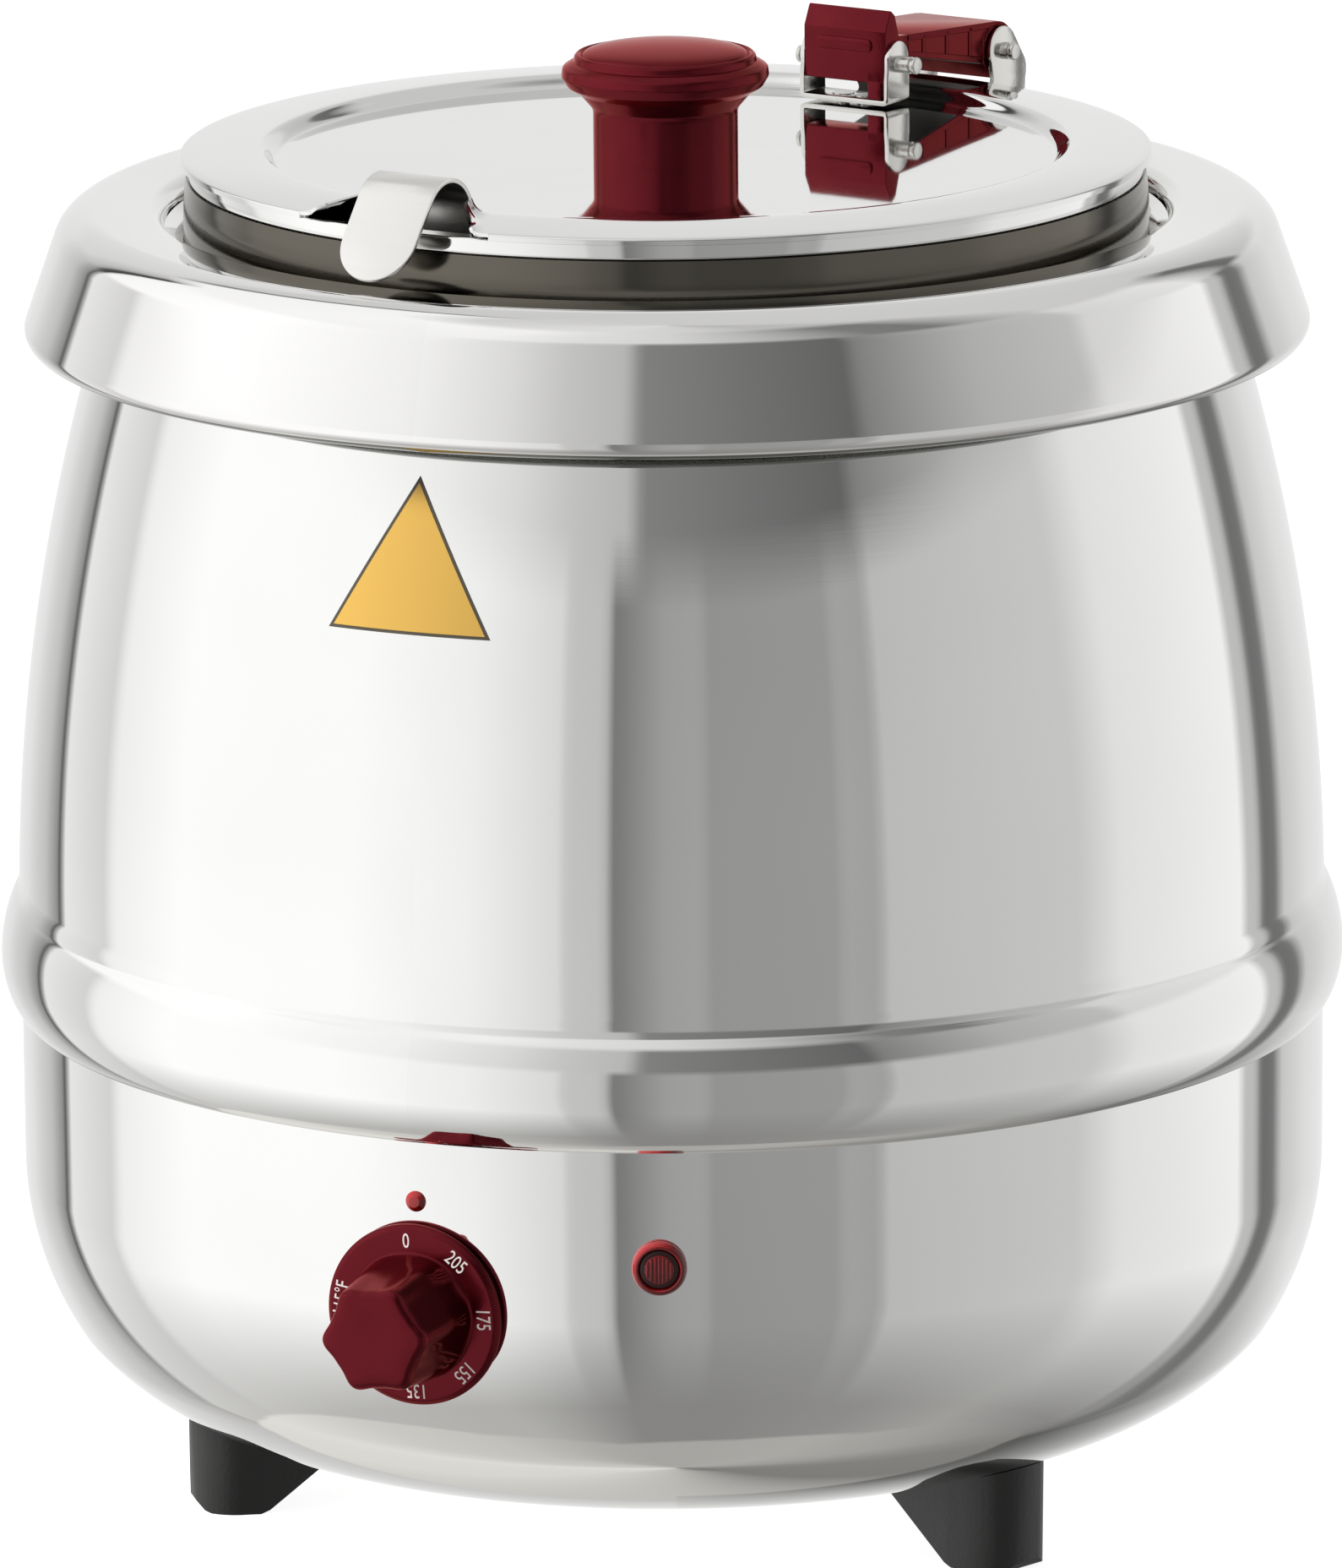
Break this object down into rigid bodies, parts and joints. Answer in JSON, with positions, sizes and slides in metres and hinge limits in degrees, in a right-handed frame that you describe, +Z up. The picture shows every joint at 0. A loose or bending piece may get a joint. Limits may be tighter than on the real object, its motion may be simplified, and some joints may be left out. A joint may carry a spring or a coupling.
{
  "type": "soup kettle",
  "caption": "Round electric soup kettle: stepped polished steel body with a collar, lift-out pot, hinged lid notched for a hooked ladle, dial, pilot lamp and feet.",
  "frame": {"origin": "on the axis of the kettle, in the plane of the bottoms of the feet", "axes": "+Z up, along the axis of the kettle; the control dial faces -Y; +X is to the right as seen from the dial"},
  "size_m": [0.3399, 0.383, 0.3703],
  "materials": {
    "polished_steel": "polished stainless steel",
    "satin_steel": "satin stainless steel",
    "plated_steel": "zinc plated steel",
    "burgundy": "gloss",
    "red_lens": "translucent red gloss",
    "dark_rubber": "satin moulded",
    "element_black": "oxidised",
    "grey_case": "matt",
    "ivory_block": "matt",
    "copper": "plain"
  },
  "bodies": {
    "kettle": {"lower_shell": "polished_steel", "upper_shell": "polished_steel", "collar": "polished_steel", "water_well": "satin_steel", "base_plate": "satin_steel", "foot_right": "dark_rubber", "foot_rear": "dark_rubber", "foot_left": "dark_rubber", "foot_screws": "plated_steel", "heating_element": "element_black", "element_clamp": "plated_steel", "clamp_nuts": "plated_steel", "thermostat": "grey_case", "thermostat_nut": "plated_steel", "sensor_bulb": "copper", "index_dot": "burgundy", "lamp_lens": "red_lens", "lamp_body": "red_lens", "lamp_nut": "plated_steel", "terminal_block": "ivory_block", "cord_gland": "dark_rubber", "gland_nut": "dark_rubber"},
    "control": {"dial": "burgundy"},
    "pot": {"soup_pot": "satin_steel", "pot_rim": "polished_steel", "rear_bracket": "polished_steel", "rear_rivets": "plated_steel", "rear_pin": "polished_steel"},
    "link": {"hinge_link": "burgundy", "front_pin": "polished_steel"},
    "cover": {"lid": "polished_steel", "lid_bracket": "polished_steel", "lid_rivets": "plated_steel", "lid_knob": "burgundy", "knob_screw": "plated_steel"},
    "ladle": {"ladle_handle": "polished_steel", "ladle_bowl": "polished_steel"}
  },
  "joints": [
    {"name": "dial_turn", "type": "hinge", "parent": "kettle", "child": "control", "pos_m": [0, -0.16, 0.0854], "axis": [0, 1, 0], "range_deg": [0, 313]},
    {"name": "pot_lift", "type": "slide", "parent": "kettle", "child": "pot", "axis": [0, 0, 1], "range_m": [0, 0.26]},
    {"name": "link_swing", "type": "hinge", "parent": "pot", "child": "link", "pos_m": [0.02748, 0.13268, 0.3492], "axis": [-0.9792, 0.2028, 0], "range_deg": [0, 98]},
    {"name": "lid_tilt", "type": "hinge", "parent": "link", "child": "cover", "pos_m": [0.01754, 0.0847, 0.353], "axis": [-0.9792, 0.2028, 0], "range_deg": [0, 7.2]},
    {"name": "ladle_lift", "type": "slide", "parent": "pot", "child": "ladle", "axis": [0, 0, 1], "range_m": [0, 0.2]}
  ],
  "couplings": [
    {"joint": "lid_tilt", "follows": "link_swing", "ratio": 0.07}
  ]
}
